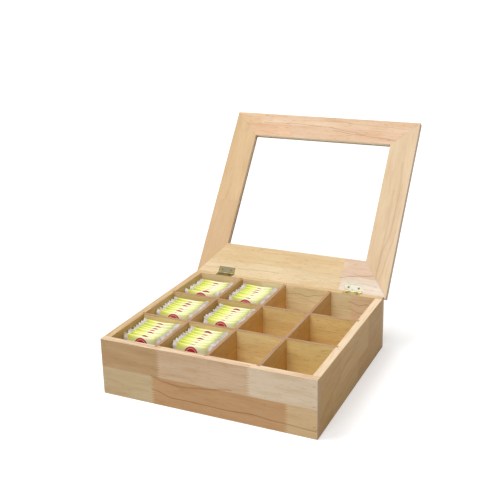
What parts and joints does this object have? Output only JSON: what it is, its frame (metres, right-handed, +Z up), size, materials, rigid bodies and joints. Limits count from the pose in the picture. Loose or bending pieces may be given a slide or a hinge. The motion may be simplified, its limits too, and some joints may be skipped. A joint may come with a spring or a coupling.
{
  "type": "wooden tea box",
  "caption": "Shallow wooden tea box with lapped dividers, partly filled with rows of upright sachets, and a hinged, mitred lid frame round a clear pane, standing open.",
  "frame": {"origin": "middle of the underside of the box", "axes": "+Z up, +Y from the front wall to the hinges, +X to the right seen from the front"},
  "size_m": [0.336, 0.4934, 0.3293],
  "materials": {
    "wall_wood": "satin clear varnish",
    "lid_wood": "satin clear varnish",
    "divider_wood": "satin clear varnish",
    "base_plywood": "satin clear varnish",
    "lid_pane": "clear, polished",
    "hinge_brass": "plated, polished",
    "screw_brass": "plated",
    "nail_steel": "dull",
    "tea_bag_paper": "coated, light gloss"
  },
  "bodies": {
    "box": {"base_panel": "base_plywood", "divider_cross_1": "divider_wood", "divider_cross_2": "divider_wood", "divider_long_1": "divider_wood", "divider_long_2": "divider_wood", "divider_long_3": "divider_wood", "hinge_left_box_leaf": "hinge_brass", "hinge_left_pin": "hinge_brass", "hinge_right_box_leaf": "hinge_brass", "hinge_right_pin": "hinge_brass", "nail_back_left_1": "nail_steel", "nail_back_left_2": "nail_steel", "nail_back_left_3": "nail_steel", "nail_back_right_1": "nail_steel", "nail_back_right_2": "nail_steel", "nail_back_right_3": "nail_steel", "nail_front_left_1": "nail_steel", "nail_front_left_2": "nail_steel", "nail_front_left_3": "nail_steel", "nail_front_right_1": "nail_steel", "nail_front_right_2": "nail_steel", "nail_front_right_3": "nail_steel", "screw_left_box_1": "screw_brass", "screw_left_box_2": "screw_brass", "screw_right_box_1": "screw_brass", "screw_right_box_2": "screw_brass", "tea_bags_1": "tea_bag_paper", "tea_bags_2": "tea_bag_paper", "tea_bags_3": "tea_bag_paper", "tea_bags_4": "tea_bag_paper", "tea_bags_5": "tea_bag_paper", "tea_bags_6": "tea_bag_paper", "wall_back": "wall_wood", "wall_front": "wall_wood", "wall_left": "wall_wood", "wall_right": "wall_wood"},
    "lid": {"hinge_left_lid_leaf": "hinge_brass", "hinge_right_lid_leaf": "hinge_brass", "lid_pane": "lid_pane", "lid_rail_back": "lid_wood", "lid_rail_front": "lid_wood", "lid_stile_left": "lid_wood", "lid_stile_right": "lid_wood", "screw_left_lid_1": "screw_brass", "screw_left_lid_2": "screw_brass", "screw_right_lid_1": "screw_brass", "screw_right_lid_2": "screw_brass"}
  },
  "joints": [
    {"name": "lid_hinge", "type": "hinge", "parent": "box", "child": "lid", "pos_m": [0, 0.152, 0.0862], "axis": [1, 0, 0], "range_deg": [0, 127]}
  ]
}
